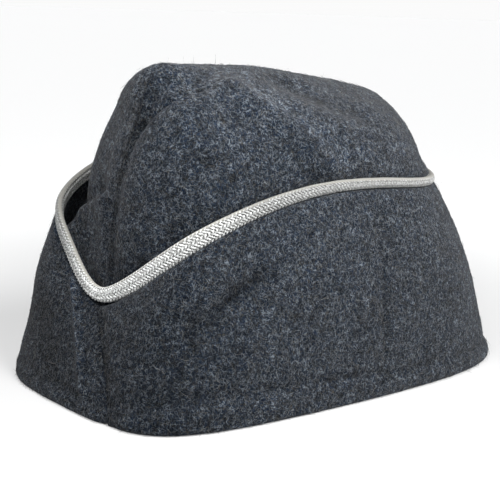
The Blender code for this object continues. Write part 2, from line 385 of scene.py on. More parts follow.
# %% Lines on the crown
# points in millimetres, read off the solids where the folds run
CROWN_SEAM = (
    (0, -74.5, 48), (0, -72, 66), (0, -70, 80), (0, -66.5, 96), (0, -62, 108), (0, -57, 117),
)
SEAM_HOLLOW = ((1, -68, 90), (1, -65.3, 101))
SEAM_CREASE = (
    (6, -55.6, 118.2), (5, -58, 115), (4, -60, 112.1), (2.9, -61.9, 108.8), (1.7, -63.7, 105.1),
    (0.6, -65.2, 101.1),
)
PILLOW = ((9, -70, 62), (9.5, -67, 78), (10, -63, 93), (14, -57, 106))
RISING_CREASE = (
    (0.3, -65.4, 100.3), (3.9, -63.2, 104.2), (7.4, -60.4, 107.3), (13.8, -56.5, 111.4),
    (17.3, -52.3, 114), (20, -45, 116.4),
)
FLAT_CORNER = ((7, -56, 116), (13, -50, 117.5))
# the next two lines lift nothing: they only paint the crown's front a little paler, as painted
# light
EVEN_FACE = ((13, -65, 95), (15.5, -67, 84), (17.5, -69, 74))
EVEN_TOP = ((20, -59, 105), (26, -57, 100))
RIDGE_FOLD = (
    (22.9, -34.2, 116.9), (28.9, -32.2, 113.3), (34.1, -29.5, 109.6), (38.7, -26.2, 105.9),
    (42.7, -22.2, 102), (46.7, -18.1, 97.3), (50.2, -13.9, 91.5), (52.5, -8, 84.8),
)
# no fold here: only a painted highlight along the ridge's lit crest
PAINTED_HIGHLIGHT_EDGE = (
    (10.9, -24.8, 121.5), (21.7, -26.3, 118.7), (29.1, -24.6, 114.8), (37.1, -20.3, 109.8),
    (42.7, -15.2, 105.2), (48.2, -9.8, 99.1), (53.3, -3.6, 90.5),
)
REAR_HOLLOW = (
    (23, -9, 118), (29.5, -4, 115.4), (34.4, -0.7, 113.3), (38.1, 4, 111.1), (42.2, 16, 108),
)
SWELL = (
    (-9, -69.2, 72), (-17.3, -67.4, 68.4), (-23.7, -66.4, 65), (-29.5, -67, 59), (-36, -66, 54),
)
SWELL_DENT = ((-14, -66, 77), (-22, -64, 73), (-29, -63, 68), (-36, -60, 62))
SWELL_END = ((-31, -65, 63), (-40, -62, 57))
print(len(RIDGE_FOLD), "points on the ridge fold")

# %% Lines on the band
BAND_VALLEY = (
    (0.6, -79.4, 36), (7.2, -83.5, 28.8), (13.7, -87.6, 20), (19.7, -91.4, 11.2),
    (24.5, -94.7, 2.5),
)
# no folds: painted shade over the front of the band, which gets less light than its sides
PAINTED_SHADE_LEFT = ((8, -88, 24), (26, -90, 22), (36, -84, 14))
PAINTED_SHADE_RIGHT = ((8, -88, 24), (-12, -90, 18), (-28, -86, 26))
SLANTING_DENT = (
    (44.8, -72, 36.4), (46.4, -69, 38.6), (48.5, -62.5, 43.3), (50.7, -55, 48.6),
    (52.3, -48, 54),
)
DENT_FOOT = ((28, -86, 28), (40, -78, 22))
DENT_SWELL = ((26, -86, 34), (36, -80, 44), (44, -66, 54))
UPRIGHT = ((67.5, 5.4, 53), (70.6, 3.9, 34.2), (72.6, 3.9, 14.5))
UPRIGHT_TOP = ((63, 7, 74), (66.5, 7, 60))
ALLOWANCE = (
    (-15, -78.3, 42), (-8.4, -82.4, 32.6), (-2, -86.2, 23.2), (4.6, -90.3, 14.2), (10.2, -93.6, 7),
)
BESIDE_ALLOWANCE = ((-30, -84, 32), (-22.5, -87, 22), (-14, -91, 13))
HEM_LEFT = (
    (20.4, -93.7, 5.9), (33.6, -90.8, 8.4), (45.7, -82.8, 11.5), (54.7, -67.5, 12.8),
    (61.1, -48.8, 12.5), (67.6, -23.3, 11.7), (73.2, 3, 9.6), (76.2, 21.8, 8.7), (78.2, 46.9, 8),
    (76, 70, 7.5), (61, 87, 7), (32, 95, 7), (0, 96.5, 7),
)
HEM_RIGHT = (
    (0, 96.5, 7), (-32, 95, 7), (-61, 87, 7), (-76, 70, 7.5), (-78, 47, 8), (-74, 3, 9),
    (-66, -48, 9), (-52, -76, 8), (-29.3, -92.2, 6.7), (-9.9, -94, 6.2), (6.3, -94.4, 5.6),
    (20.4, -93.7, 5.9),
)


def lowered(line, drop):
    """The same line some millimetres lower."""
    return tuple((x, y, z - drop) for x, y, z in line)


print(len(HEM_LEFT) + len(HEM_RIGHT) - 2, "points along the hem")

# %% Folds of each panel
# line, width to its left and to its right, height, sharpness, and how much paler the wool is
# painted there: painted highlight above 0, painted shade below 0
FOLDS = {
    "crown_left": (
        (CROWN_SEAM, 4.6, 4.6, -2.2, 0.1, -0.4),
        (SEAM_HOLLOW, 7, 7, -0.9, 0.0, -0.15),
        (SEAM_CREASE, 3.6, 3.6, -1.3, 0.0, -0.3),
        (PILLOW, 8, 18, 2.1, 0.0, 0.0),
        (RISING_CREASE, 2.6, 2.0, -2.0, 0.5, -0.35),
        (FLAT_CORNER, 6, 6, -0.9, 0.0, 0.1),
        (EVEN_FACE, 12, 12, 0.0, 0.0, 0.05),
        (EVEN_TOP, 9, 9, 0.0, 0.0, 0.1),
        (RIDGE_FOLD, 5, 7, 2.6, 0.2, 0.1),
        (PAINTED_HIGHLIGHT_EDGE, 6, 6, 0.0, 0.0, 0.35),
        (REAR_HOLLOW, 8, 8, -2.8, 0.0, -0.3),
    ),
    "crown_right": (
        (CROWN_SEAM, 3.6, 3.6, -1.7, 0.1, -0.35),
        (SWELL, 9, 3.2, 4.0, 0.2, 0.05),
        (SWELL_DENT, 4.5, 4.5, -2.8, 0.1, 0.0),
        (SWELL_END, 5, 4, -3.2, 0.0, 0.0),
    ),
    "turn_up_left": (
        (BAND_VALLEY, 4.0, 5.0, -1.4, 0.2, -0.35),
        (PAINTED_SHADE_LEFT, 26, 26, 0.0, 0.0, -0.2),
        (SLANTING_DENT, 3.4, 6, -2.4, 0.1, -0.5),
        (DENT_FOOT, 8, 8, -0.7, 0.0, 0.0),
        (DENT_SWELL, 6, 6, 0.8, 0.0, 0.1),
        (HEM_LEFT[:5], 2.2, 1.6, -0.6, 0.3, -0.12),
        (HEM_LEFT[4:], 2.2, 1.6, -0.9, 0.3, -0.35),
        (lowered(HEM_LEFT[1:5], 5.5), 4, 4, 0.7, 0.0, 0.3),
        (lowered(HEM_LEFT[5:], 4.5), 3, 3, 0.6, 0.0, 0.2),
        (UPRIGHT, 1.8, 2.6, -0.7, 0.3, -0.35),
        (UPRIGHT_TOP, 5, 5, -0.5, 0.0, -0.2),
    ),
    "turn_up_right": (
        (BAND_VALLEY, 4.0, 3.0, -1.4, 0.2, -0.2),
        (PAINTED_SHADE_RIGHT, 24, 24, 0.0, 0.0, -0.2),
        (ALLOWANCE, 1.8, 2.0, 1.8, 0.2, 0.6),
        (BESIDE_ALLOWANCE, 9, 9, -0.5, 0.0, -0.3),
        (HEM_RIGHT, 2.2, 1.6, -0.8, 0.3, -0.25),
        (lowered(HEM_RIGHT, 4.0), 3, 3, 0.6, 0.0, 0.15),
    ),
}
print(sum(len(folds) for folds in FOLDS.values()), "folds")

# %% [markdown]
# A narrow fold needs points closer together than the rounded panel has, so the edges near such
# a line are halved until they are short enough.

# %% More points along narrow folds
NARROW = 4            # width under which a fold needs more points
REFINE_REACH = 5
LONGEST_EDGE = 1.0


def refined(piece, lines):
    """Halves a piece's edges that are near one of the lines, until they are short enough."""
    mesh = bmesh.new()
    mesh.from_mesh(piece.data)
    for _ in range(3):
        mesh.verts.index_update()
        place = np.array([vertex.co for vertex in mesh.verts])
        near = np.min([line_distance(place, place, line)[0] for line in lines], 0)
        close = near < REFINE_REACH * MM
        cut = [
            edge for edge in mesh.edges
            if all(close[vertex.index] for vertex in edge.verts)
            and edge.calc_length() > LONGEST_EDGE * MM
        ]
        if cut:
            bmesh.ops.subdivide_edges(mesh, edges=cut, cuts=1, use_grid_fill=True)
    mesh.to_mesh(piece.data)
    mesh.free()
    piece.data.shade_smooth()


for node, piece in panels.items():
    refined(piece, [line for line, left, right, *_ in FOLDS[node] if min(left, right) < NARROW])
    print(piece.name, len(piece.data.polygons), "faces")

# %% [markdown]
# Where two panels meet, both go towards each other until the gap between the solids is closed.
# Beside the piping the crown dips in at the front, and at the rear it swells out until it
# leans on the piping.

# %% Where pieces meet
# lengths in millimetres
SEAM_REACH = 8                 # how far a panel feels its neighbour
RIM_HEIGHTS = (8, 4)           # from above the rim down to it
CLOSING = (0.5, 0.95)          # share of the way that a panel goes, above the rim and at it
CLOSING_WIDTH = (0.5, 1.2)
SEAM_DEPTH = {"crown": 0.4, "turn_up": 0.45}
SEAM_SPREAD = {"crown": 2.4, "turn_up": 1.6}
PARTNER = {
    "crown_left": "crown_right", "crown_right": "crown_left",
    "turn_up_left": "turn_up_right", "turn_up_right": "turn_up_left",
}


def to_neighbour(place, node):
    """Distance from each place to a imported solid, up to the seams' reach, and the way there."""
    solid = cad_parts[node].data
    corners = [vertex.co for vertex in solid.vertices]
    tree = BVHTree.FromPolygons(corners, [polygon.vertices for polygon in solid.polygons])
    distance = np.full(len(place), SEAM_REACH * MM)
    way = np.zeros((len(place), 3))
    for i, spot in enumerate(place):
        nearest = tree.find_nearest(Vector(spot), SEAM_REACH * MM)
        if nearest[0] is not None:
            distance[i] = nearest[3]
            way[i] = nearest[0] - Vector(spot)
    return distance, way


def seam_closing(place, near):
    """Share of the way to its neighbour that each place goes: half, and nearly all at the rim."""
    rim = rise_between(place[:, 2], *RIM_HEIGHTS)
    return blend(CLOSING, rim) * smooth_step(2 - near / (blend(CLOSING_WIDTH, rim) * MM))


print("seams reach", SEAM_REACH, "mm")

# %% Moves of the crown
# lengths in millimetres
LEAN = 5.0
PIPING_LIFT = (-3.0, 2.6)      # of the crown beside the piping, at the front and at the rear
PIPING_WIDTH = (2.0, 4.5)
CORNER_PLACE = (-3, -57.5, 118.5)
CORNER_WAY = (-0.2, -0.7, 0.68)
CORNER_REACH = 9
CORNER_LIFT = 2.6


def seam_lean(place):
    """How far the crown's front seam leans to the wearer's left, most at the front of the ridge."""
    high = rise_between(place[:, 2], 82, 120)
    front = rise_between(place[:, 1], -8, -38)
    return LEAN * MM * high * front * fading(place[:, 0], 15)


def corner_push(place):
    """Brings back the crown's front corner, which the rounding has drawn in."""
    off = np.linalg.norm(place - np.array(CORNER_PLACE) * MM, axis=1)
    return np.outer(CORNER_LIFT * MM * fading(off, CORNER_REACH), CORNER_WAY)


def along_piping(place):
    """Lift of the crown beside the piping, and painted shade along the line where it meets the
    piping.
    """
    under, _ = to_neighbour(place, "piping")
    rear_share = rise_between(place[:, 1], 30, 55)
    lift = blend(PIPING_LIFT, rear_share) * MM * fading(under, blend(PIPING_WIDTH, rear_share))
    # the second value is painted shade, darkest right beside the piping
    return lift, -0.6 * fading(under, 1.8)


print("front corner:", CORNER_LIFT, "mm out")

# %% [markdown]
# Now every point moves once: towards the neighbouring panel, then in or out by the sum of its
# folds. Long soft ripples keep the flat parts from looking ironed. Folds show in full on the
# outside of the cloth. On the inside they show by half in the crown and not at all in the band,
# whose two layers don't follow each other.

# %% Move the cloth
RIPPLES = ((0.30, 26, 3.7), (0.12, 9, 8.1))   # height, size of the waves and seed
INSIDE = {"crown": 0.5, "turn_up": 0.0}       # share of the folds that shows inside
AT_SEAM = 0.3                                 # share of the folds that is left at a seam
PAINTED_SHADING_RANGE = (-0.55, 0.9)
for node, piece in panels.items():
    kind = "crown" if node.startswith("crown") else "turn_up"
    place, normal = points_of(piece)
    away = outwards(place)
    outside = smooth_step((normal * away).sum(1) / 0.5)
    lift = np.zeros(len(place))
    painted_shading = np.zeros(len(place))
    for line, left, right, height, sharp, paler in FOLDS[node]:
        shape = fold(place, away, line, left, right, sharp)
        lift += height * MM * shape
        painted_shading += paler * shape ** 2
    lift += sum(height * MM * ripples(place, size, seed) for height, size, seed in RIPPLES)
    near, way = to_neighbour(place, PARTNER[node])
    # painted shade along the seam, where the two panels meet
    painted_shading -= 0.2 * fading(near, 1.2)
    moved = place + way * seam_closing(place, near)[:, None]
    if kind == "crown":
        moved[:, 0] += seam_lean(moved)
        moved += corner_push(place)
        piping_lift, piping_painted_shading = along_piping(place)
        lift += piping_lift
        painted_shading += piping_painted_shading
    lift *= blend((INSIDE[kind], 1), outside)
    lift *= blend((AT_SEAM, 1), rise_between(near, 0, 4))
    groove = SEAM_DEPTH[kind] * MM * fading(near, SEAM_SPREAD[kind], 1.5)
    put_points(piece.data, moved + away * (lift - groove * outside)[:, None])
    # the folds' painted shade and painted highlight, kept on each point for the wool's colour
    shade = piece.data.attributes.new("painted_shading", "FLOAT", "POINT")
    shade.data.foreach_set("value", np.clip(painted_shading, *PAINTED_SHADING_RANGE).astype(np.float32))
    print(piece.name, "lift from", round(lift.min() / MM, 2), "to", round(lift.max() / MM, 2), "mm")

# %% [markdown]
# ## Felted wool
#
# The cloth is woven from yarn of mixed wool, and then felted until the weave is gone: dark
# navy, blue-grey and pale fibres lie in all directions. Plain noise gives soft blots, but real
# fibres are thin curly lines. Such a line is found where a swirling noise crosses its middle
# value, like a contour on a map. Four sets of these lines, each with its own colour, lie over a
# dark ground, and two larger noises make the cloudy patches. The same values raise the
# surface, so pale fibres stand up from the felt. The value stored with the folds then adds
# painted shade, which darkens the hollows and seams, and painted highlight, which makes the
# ridges paler.

# %% A node group for mixed wool
def new_group(name, numbers, colours, outputs):
    """An empty node group with named inputs and outputs."""
    group = bpy.data.node_groups.new(name, "ShaderNodeTree")
    group.interface.new_socket("Vector", in_out="INPUT", socket_type="NodeSocketVector")
    for kind, values in (("NodeSocketFloat", numbers), ("NodeSocketColor", colours)):
        for label, value in values.items():
            socket = group.interface.new_socket(label, in_out="INPUT", socket_type=kind)
            socket.default_value = value
    for label, kind in outputs.items():
        group.interface.new_socket(label, in_out="OUTPUT", socket_type=kind)
    return group, group.nodes.new("NodeGroupInput"), group.nodes.new("NodeGroupOutput")


def fill(tree, socket, value):
    """Gives a socket a plain number or colour, or links another node's output to it."""
    if isinstance(value, (int, float, tuple)):
        socket.default_value = value
    else:
        tree.links.new(value, socket)


def maths(tree, operation, *inputs):
    """A maths node's output, from outputs of other nodes or plain numbers."""
    node = tree.nodes.new("ShaderNodeMath")
    node.operation = operation
    for socket, value in zip(node.inputs, inputs):
        fill(tree, socket, value)
    return node.outputs[0]


def noise_value(tree, vector, size, detail, roughness, swirl, shift):
    """A noise texture's value: size in millimetres, swirl bends it and shift picks another part."""
    mapping = tree.nodes.new("ShaderNodeMapping")
    mapping.inputs["Location"].default_value = (shift, -1.7 * shift, 0.6 * shift)
    tree.links.new(vector, mapping.inputs["Vector"])
    texture = tree.nodes.new("ShaderNodeTexNoise")
    tree.links.new(mapping.outputs[0], texture.inputs["Vector"])
    texture.inputs["Scale"].default_value = 1 / (size * MM)
    texture.inputs["Detail"].default_value = detail
    texture.inputs["Roughness"].default_value = roughness
    texture.inputs["Distortion"].default_value = swirl
    return texture.outputs["Fac"]


print("node helpers ready")

# %% Nodes for curly fibres
def between(tree, value, low, high):
    """A value spread so that low becomes 0 and high becomes 1, smoothly and held there."""
    node = tree.nodes.new("ShaderNodeMapRange")
    node.interpolation_type = "SMOOTHSTEP"
    node.inputs["From Min"].default_value = low
    node.inputs["From Max"].default_value = high
    tree.links.new(value, node.inputs["Value"])
    return node.outputs["Result"]


def mixed(tree, share, first, second):
    """A colour between two colours."""
    node = tree.nodes.new("ShaderNodeMix")
    node.data_type = "RGBA"
    for label, value in (("Factor", share), ("A", first), ("B", second)):
        fill(tree, node.inputs[label], value)
    return [output for output in node.outputs if output.type == "RGBA"][0]


def curls(tree, vector, size, width, shift):
    """Curly lines like fibres: the places where a swirling noise crosses its middle value."""
    value = noise_value(tree, vector, size, 1.0, 0.5, 0.5, shift)
    off_middle = maths(tree, "ABSOLUTE", maths(tree, "SUBTRACT", value, 0.5))
    line = between(tree, off_middle, width, 0.0)
    gaps = noise_value(tree, vector, size * 0.9, 0.0, 0.5, 0.0, shift + 0.3)
    return maths(tree, "MULTIPLY", line, between(tree, gaps, 0.36, 0.56))


print("curls ready")

# %% Sockets of the wool group
wool_mix, given, result = new_group(
    "mixed_wool",
    {"Cloudiness": 1.0, "Painted shading": 0.0},
    {
        "Ground": (0.0006, 0.0013, 0.0036, 1),
        "Middle": (0.0112, 0.0168, 0.0252, 1),
        "Cool": (0.0053, 0.0118, 0.0258, 1),
        "Pale": (0.094, 0.108, 0.123, 1),
        "Warm": (0.042, 0.037, 0.028, 1),
    },
    {"Color": "NodeSocketColor", "Height": "NodeSocketFloat"},
)
print("wool group takes", len(given.outputs) - 1, "inputs")

# %% [markdown]
# Each set of fibres has its own size, width of line and place in the noise. Two sets are given
# two sizes, so that their curls don't look alike. The last share says how much a fibre hides of
# what lies under it.

# %% Nodes of the wool group
where = given.outputs["Vector"]


def times(first, second):
    """One value times another, in the wool group."""
    return maths(wool_mix, "MULTIPLY", first, second)


def plus(first, second):
    """One value plus another, in the wool group."""
    return maths(wool_mix, "ADD", first, second)


def fibre_set(*curl_kinds):
    """The strongest of some sets of curls, each with a size, a width and a shift."""
    found = [curls(wool_mix, where, *kind) for kind in curl_kinds]
    return found[0] if len(found) == 1 else maths(wool_mix, "MAXIMUM", *found)


grain = noise_value(wool_mix, where, 0.45, 2.0, 0.7, 0.0, 0.11)
clouds = noise_value(wool_mix, where, 2.8, 2.0, 0.6, 0.3, 0.23)
shades = noise_value(wool_mix, where, 10.0, 2.0, 0.5, 0.0, 0.31)
middle_fibres = fibre_set((1.10, 0.075, 0.41), (0.80, 0.085, 0.53))
cool_fibres = fibre_set((0.85, 0.11, 0.61))
pale_fibres = fibre_set((1.3, 0.050, 0.67), (2.1, 0.033, 0.71))
warm_fibres = fibre_set((1.0, 0.06, 0.83))
ground_share = between(wool_mix, grain, 0.45, 0.80)
colour = mixed(wool_mix, ground_share, given.outputs["Ground"], given.outputs["Middle"])
for fibre, share, tint in (
    (cool_fibres, 0.8, "Cool"), (middle_fibres, 0.85, "Middle"),
    (warm_fibres, 0.7, "Warm"), (pale_fibres, 0.8, "Pale"),
):
    colour = mixed(wool_mix, times(fibre, share), colour, given.outputs[tint])
patches = plus(times(plus(clouds, -0.5), 2.8), times(plus(shades, -0.5), 0.7))
cloudy = plus(times(patches, given.outputs["Cloudiness"]), 1.0)
# painted shading: the stored value darkens or brightens the wool's colour
strength = times(cloudy, plus(given.outputs["Painted shading"], 1.0))
scaled = wool_mix.nodes.new("ShaderNodeVectorMath")
scaled.operation = "SCALE"
wool_mix.links.new(colour, scaled.inputs[0])
wool_mix.links.new(strength, scaled.inputs["Scale"])
wool_mix.links.new(scaled.outputs[0], result.inputs["Color"])
soft_height = plus(times(grain, 1.0), times(clouds, 1.5))
height = plus(times(middle_fibres, 0.4), plus(times(pale_fibres, 0.7), soft_height))
wool_mix.links.new(height, result.inputs["Height"])
print("wool group has", len(wool_mix.nodes), "nodes")

# %% The wool material
def bumped(tree, shader, height, strength, distance):
    """Joins a height to a shader's normal."""
    bump = tree.nodes.new("ShaderNodeBump")
    bump.inputs["Strength"].default_value = strength
    bump.inputs["Distance"].default_value = distance
    tree.links.new(height, bump.inputs["Height"])
    tree.links.new(bump.outputs["Normal"], shader.inputs["Normal"])


wool, tree, shader = new_material("felted_wool", {
    "Roughness": 0.95, "Specular IOR Level": 0.1,
    "Sheen Weight": 0.08, "Sheen Roughness": 0.20, "Sheen Tint": (0.88, 0.84, 0.80, 1),
})
spot = tree.nodes.new("ShaderNodeTexCoord").outputs["Object"]
fibres = tree.nodes.new("ShaderNodeGroup")
fibres.node_tree = wool_mix
tree.links.new(spot, fibres.inputs["Vector"])
own_painted_shading = tree.nodes.new("ShaderNodeAttribute")
own_painted_shading.attribute_name = "painted_shading"
tree.links.new(own_painted_shading.outputs["Fac"], fibres.inputs["Painted shading"])
tree.links.new(fibres.outputs["Color"], shader.inputs["Base Color"])
bumped(tree, shader, fibres.outputs["Height"], 0.8, 0.5 * MM)
for node, piece in panels.items():
    piece.data.materials.clear()
    piece.data.materials.append(wool)
    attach(piece, "root")
    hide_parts(node)
print("wool on", len(panels), "panels")

# %% [markdown]
# ## Fuzz
#
# Loose ends of wool stand and lie all over the felt. They soften the outline, catch the light
# along the edges and hide the seams. Hair particles would do, but they are not part of the
# mesh, so each hair is a real ribbon of three faces. One hair is modelled as a small grid, and
# then it is laid down thousands of times at random places with its own length, bend and shade.

# %% Roots of the hairs
INSIDE_CHANCE = 0.05


def random_spots(piece, count, dice):
    """Random places on a piece, nearly all on its outside, with the normals there."""
    mesh = piece.data
    mesh.calc_loop_triangles()
    corners = np.zeros(len(mesh.loop_triangles) * 3, int)
    mesh.loop_triangles.foreach_get("vertices", corners)
    place, _ = points_of(piece)
    a, b, c = (place[corner] for corner in corners.reshape(-1, 3).T)
    facing = np.cross(b - a, c - a)
    area = np.linalg.norm(facing, axis=1)
    outer = (facing * outwards((a + b + c) / 3)).sum(1) > 0
    chance = area * np.where(outer, 1.0, INSIDE_CHANCE)
    pick = dice.choice(len(area), count, p=chance / chance.sum())
    u, v = dice.random((2, count))
    over = u + v > 1
    u[over], v[over] = 1 - u[over], 1 - v[over]
    spot = a[pick] + (b - a)[pick] * u[:, None] + (c - a)[pick] * v[:, None]
    return spot, facing[pick] / area[pick, None]


print("roots can be found on", len(panels), "panels")

# %% Form of the hairs
HAIR_LENGTHS = (0.8, 4.2)      # shortest and longest, in millimetres
HAIR_WIDTHS = (0.045, 0.085)
HAIR_SLOPE = (0.15, 0.13)      # at the root: mean and spread
HAIR_SUNK = 0.03 * MM
LOWEST = 0.05 * MM             # no hair reaches the floor


def offsets(way, amount):
    """Each hair's own direction times the amount at each of its points."""
    return way[:, None] * amount[..., None]


def hair_places(spot, normal, across, along, dice):
    """Places of the points of hairs on the given spots, from the points of one flat hair."""
    count = len(spot)
    side = np.cross(normal, dice.normal(size=(count, 3)))
    side /= np.linalg.norm(side, axis=1, keepdims=True)
    ahead = np.cross(side, normal)
    length = np.clip(dice.lognormal(0.75, 0.40, (count, 1)), *HAIR_LENGTHS) * MM
    rise = dice.normal(*HAIR_SLOPE, (count, 1))
    drop = np.clip(rise, 0, None) * dice.uniform(0.4, 1.1, (count, 1))
    bend = dice.normal(0, 0.55, (count, 1))
    roll = dice.normal(0, 0.8, (count, 1))
    width = dice.uniform(*HAIR_WIDTHS, (count, 1)) * MM
    flat = side * np.cos(roll) + normal * np.sin(roll)
    place = spot[:, None] + offsets(ahead, length * along)
    place += offsets(side, length * bend * along * along)
    place += offsets(normal, length * (rise * along - drop * along * along) - HAIR_SUNK)
    place += offsets(flat, width * (1 - 0.75 * along) * across)
    place[..., 2] = np.maximum(place[..., 2], LOWEST)
    return place


print("hairs are sunk", HAIR_SUNK / MM, "mm into the felt")

# %% One coat of hair
HAIR_PARTS = 3


def grid_mesh(name, columns, rows, uv_name=None):
    """A flat grid as a mesh, and the column and row of each of its points."""
    grid = bmesh.new()
    if uv_name:
        grid.loops.layers.uv.new(uv_name)
    bmesh.ops.create_grid(
        grid, x_segments=columns, y_segments=rows, size=1.0, calc_uvs=bool(uv_name)
    )
    mesh = bpy.data.meshes.new(name)
    grid.to_mesh(mesh)
    grid.free()
    place = np.array([vertex.co for vertex in mesh.vertices])
    column = np.rint((place[:, 0] + 1) / 2 * columns).astype(int)
    row = np.rint((place[:, 1] + 1) / 2 * rows).astype(int)
    return mesh, column, row


def quad_mesh(name, place, corners):
    """A mesh from its places and the corner numbers of its four-sided faces."""
    mesh = bpy.data.meshes.new(name)
    mesh.vertices.add(place.size // 3)
    mesh.vertices.foreach_set("co", place.ravel())
    mesh.loops.add(corners.size)
    mesh.loops.foreach_set("vertex_index", corners.ravel())
    mesh.polygons.add(corners.size // 4)
    mesh.polygons.foreach_set("loop_start", np.arange(0, corners.size, 4))
    mesh.update(calc_edges=True)
    mesh.shade_smooth()
    return mesh


def hair_coat(name, piece, count, seed):
    """Thousands of copies of one hair on a piece's outside, with a shade for each."""
    dice = np.random.default_rng(seed)
    one, column, row = grid_mesh("hair", 1, HAIR_PARTS)
    faces = np.array([list(polygon.vertices) for polygon in one.polygons])
    bpy.data.meshes.remove(one)
    spot, normal = random_spots(piece, count, dice)
    place = hair_places(spot, normal, 2 * column - 1, row / HAIR_PARTS, dice)
    first_point = np.arange(count) * len(row)
    mesh = quad_mesh(name, place, faces[None] + first_point[:, None, None])
    shade = mesh.attributes.new("shade", "FLOAT", "POINT")
    shade.data.foreach_set("value", np.repeat(dice.random(count), len(row)).astype(np.float32))
    return new_object(name, mesh)


print("each hair has", HAIR_PARTS, "faces")

# %% Fuzz on the panels
HAIRS = {"crown_left": 16000, "crown_right": 14000, "turn_up_left": 15000, "turn_up_right": 12000}
FIRST_SEED = 11
HAIR_SHADES = (
    (0.0, (0.003, 0.004, 0.007, 1)), (0.40, (0.006, 0.010, 0.017, 1)),
    (0.75, (0.017, 0.021, 0.028, 1)), (0.88, (0.034, 0.031, 0.025, 1)),
    (1.0, (0.13, 0.13, 0.122, 1)),
)
hair, tree, shader = new_material("wool_hair", {"Roughness": 0.8})
own_shade = tree.nodes.new("ShaderNodeAttribute")
own_shade.attribute_name = "shade"
ramp = colour_ramp(tree, HAIR_SHADES)
tree.links.new(own_shade.outputs["Fac"], ramp.inputs["Fac"])
tree.links.new(ramp.outputs["Color"], shader.inputs["Base Color"])
for number, (node, piece) in enumerate(panels.items()):
    coat = hair_coat(node + "_fuzz", piece, HAIRS[node], FIRST_SEED + number)
    coat.data.materials.append(hair)
    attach(coat, "root")
    print(coat.name, 2 * len(coat.data.polygons), "triangles")

# %% [markdown]
# Each panel was cut from flat cloth. Its flat size is half of the rim's length by the height
# over the curve, and its area is half of the solid's surface, because the solid has two faces.

# %% Cut from flat cloth
print("each panel is cut from flat cloth")

# %% [markdown]
# ## Braided piping
#
# The piping is a tube braided from twenty flat strands of bright thread, ten that wind one
# way and ten the other, each over two and under two. It is pressed flat and stands on the
# band's edge. A bump pattern would look flat where the light grazes it, so each strand is
# real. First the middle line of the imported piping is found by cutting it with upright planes.

# %% Middle line of the piping
def cut_points(source, place, normal):
    """Points where a plane cuts a mesh."""
    copy = source.copy()
    cut = bmesh.ops.bisect_plane(
        copy, geom=copy.verts[:] + copy.edges[:] + copy.faces[:], plane_co=place, plane_no=normal
    )["geom_cut"]
    points = [part.co.copy() for part in cut if isinstance(part, bmesh.types.BMVert)]
    copy.free()
    return points


SLICES = 180
axis = Vector((0, 12 * MM, 0))
tube = bmesh.new()
tube.from_mesh(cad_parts["piping"].data)
bmesh.ops.remove_doubles(tube, verts=tube.verts[:], dist=1e-6)
middles = []
heights = []
for step in range(SLICES):
    turn = 2 * math.pi * (step + 0.5) / SLICES
    ray = Vector((math.sin(turn), -math.cos(turn), 0))
    points = [
        point for point in cut_points(tube, axis, Vector((ray.y, -ray.x, 0)))
        if (point - axis).dot(ray) > 0
    ]
    middles.append(sum(points, Vector()) / len(points))
    spread = np.array(points) - np.array(middles[-1])
    heights.append(2 * np.sqrt(np.linalg.eigvalsh(spread.T @ spread / len(points))[-1] * 2))
tube.free()
middles = np.array(middles)
heights = np.array(heights)
print("piping is", round(heights.min() / MM, 2), "to", round(heights.max() / MM, 2), "mm tall")

# %% Even steps along the piping
def softened(values, passes):
    """Values round a loop, each drawn towards its neighbours a few times."""
    for _ in range(passes):
        values = (np.roll(values, 1, 0) + 2 * values + np.roll(values, -1, 0)) / 4
    return values


def resampled(loop, values, count):
    """A loop and values along it at even steps, with the loop's length."""
    closed = np.vstack([loop, loop[:1]])
    run = np.concatenate([[0], np.cumsum(np.linalg.norm(np.diff(closed, axis=0), axis=1))])
    wanted = np.linspace(0, run[-1], count, endpoint=False)
    extra = np.concatenate([values, values[:1]])
    places = np.stack([np.interp(wanted, run, closed[:, i]) for i in range(3)], -1)
    return places, np.interp(wanted, run, extra), run[-1]


BRAID_STEPS = 1400
route, tall, route_length = resampled(softened(middles, 3), softened(heights, 6), BRAID_STEPS)
route = softened(route, 30)
ahead = np.roll(route, -1, 0) - np.roll(route, 1, 0)
ahead /= np.linalg.norm(ahead, axis=1, keepdims=True)
out = np.stack([ahead[:, 1], -ahead[:, 0], 0 * ahead[:, 0]], -1)
out /= np.linalg.norm(out, axis=1, keepdims=True)
if (out * (route - np.array(axis))).sum() < 0:
    out = -out
up = np.cross(out, ahead)
up *= np.sign(up[:, 2:3])
up /= np.linalg.norm(up, axis=1, keepdims=True)
print("piping is", round(route_length / MM, 1), "mm long")

# %% [markdown]
# Each strand starts as a long grid from one operator, whose points are then laid along a
# winding path. The number of turns is whole, so every strand meets its own start and is welded
# there. A strand rises over two crossings and dips under two. Its section is a flat ribbon with
# a domed face, open on the side that lies on the filler.

# %% Section of the piping
LEAD = 15.0 * MM
TURNS = round(route_length / LEAD)
STRANDS = 10
SECTION_POWER = 0.75
PIPING_THICKNESS = 3.2 * MM
USUAL_TALL = 5.4 * MM


def squarer(value):
    """A sine or cosine drawn outwards, so that an oval comes nearer to a rectangle."""
    return np.sign(value) * np.abs(value) ** SECTION_POWER


def section(share, tall_here, inset):
    """Place and outward direction on the flattened tube's section, a share of the way round it."""
    angle = np.linspace(0, 2 * math.pi, 721)
    x = squarer(np.cos(angle)) * PIPING_THICKNESS / 2
    y = squarer(np.sin(angle)) * USUAL_TALL / 2
    run = np.concatenate([[0], np.cumsum(np.hypot(np.diff(x), np.diff(y)))])
    at = np.interp(np.mod(share, 1) * run[-1], run, angle)
    half_thick = PIPING_THICKNESS / 2 - inset
    half_tall = tall_here / 2 - inset
    nx = np.cos(at) / half_thick
    ny = np.sin(at) / half_tall
    size = np.hypot(nx, ny)
    return squarer(np.cos(at)) * half_thick, squarer(np.sin(at)) * half_tall, nx / size, ny / size


